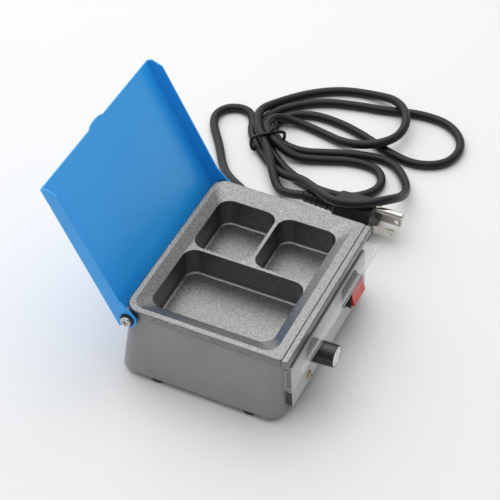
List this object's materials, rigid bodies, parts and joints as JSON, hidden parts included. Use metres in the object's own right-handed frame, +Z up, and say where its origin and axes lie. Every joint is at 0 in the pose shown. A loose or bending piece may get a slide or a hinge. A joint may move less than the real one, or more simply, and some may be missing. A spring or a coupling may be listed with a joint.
{
  "type": "dry block heater",
  "caption": "Small bench heater with a cast tray of three open wells, a hinged lid, a control knob, a rocker switch, a clear drip guard and a corded plug.",
  "frame": {"origin": "plane of the feet, under the middle of the tray", "axes": "+Z up, the control panel faces -Y, the lid's hinge runs along X at the back"},
  "size_m": [0.3209, 0.1858, 0.1363],
  "materials": {
    "grey_enamel": "satin grey powder coat",
    "sparkle_coat": "grey non-stick coat with fine sparkle",
    "blue_lid": "semi-gloss light blue enamel on sheet",
    "panel_grey": "light grey satin",
    "backing_grey": "dark grey",
    "clear_acrylic": "clear, polished edges",
    "black_gloss": "gloss black",
    "silver_cap": "spun silver",
    "red_lens": "translucent red",
    "black_rubber": "matt black rubber",
    "black_cord": "satin black PVC jacket",
    "bright_steel": "bright zinc",
    "yellow_zinc": "yellow zinc",
    "nickel": "nickel plate",
    "mica": "mica laminate",
    "wool": "ceramic fibre",
    "board_green": "solder mask",
    "part_white": "moulded nylon",
    "sink_alu": "plain extrusion",
    "brass_part": "plain brass",
    "wire_red": "silicone wire"
  },
  "bodies": {
    "base": {"housing_shell": "grey_enamel", "base_plate": "bright_steel", "rubber_feet": "black_rubber", "foot_screws": "bright_steel", "tray_casting": "sparkle_coat", "tray_posts": "bright_steel", "post_screws": "bright_steel", "drip_rail": "sparkle_coat", "panel_backing": "backing_grey", "front_panel": "panel_grey", "panel_screws": "yellow_zinc", "drip_guard": "clear_acrylic", "pot_body": "bright_steel", "pot_nut": "bright_steel", "switch_body": "black_gloss", "switch_tabs": "brass_part", "hinge_screws": "bright_steel", "hinge_washers": "black_rubber", "hinge_spacers": "black_rubber", "hinge_nuts": "bright_steel", "heater_element": "mica", "clamp_plate": "bright_steel", "insulation_pad": "wool", "clamp_screws": "bright_steel", "thermal_cutout": "part_white", "sensor_probe": "bright_steel", "sensor_clip": "sink_alu", "control_board": "board_green", "board_standoffs": "part_white", "triac_and_sink": "sink_alu", "board_parts": "black_gloss", "terminal_block": "part_white", "earth_stud": "brass_part", "inner_wires": "wire_red", "cord_gland": "black_rubber", "lead_core": "black_cord", "cord_tube": "black_cord", "cord_tie": "black_cord", "plug_body": "black_cord", "plug_blades": "nickel", "ground_pin": "nickel"},
    "lid": {"lid_panel": "blue_lid"},
    "knob": {"knob_body": "black_gloss", "knob_cap": "silver_cap", "pot_shaft": "bright_steel"},
    "rocker": {"rocker": "red_lens", "rocker_pins": "bright_steel"}
  },
  "joints": [
    {"name": "lid_hinge", "type": "hinge", "parent": "base", "child": "lid", "pos_m": [0, 0.0487, 0.049], "axis": [1, 0, 0], "range_deg": [0, 117]},
    {"name": "knob_turn", "type": "hinge", "parent": "base", "child": "knob", "pos_m": [-0.029, -0.05157, 0.0333], "axis": [0, -0.999, 0.0445], "range_deg": [0, 300]},
    {"name": "rocker_tilt", "type": "hinge", "parent": "base", "child": "rocker", "pos_m": [0.0295, -0.05903, 0.03203], "axis": [1, 0, 0], "range_deg": [0, 13]}
  ]
}
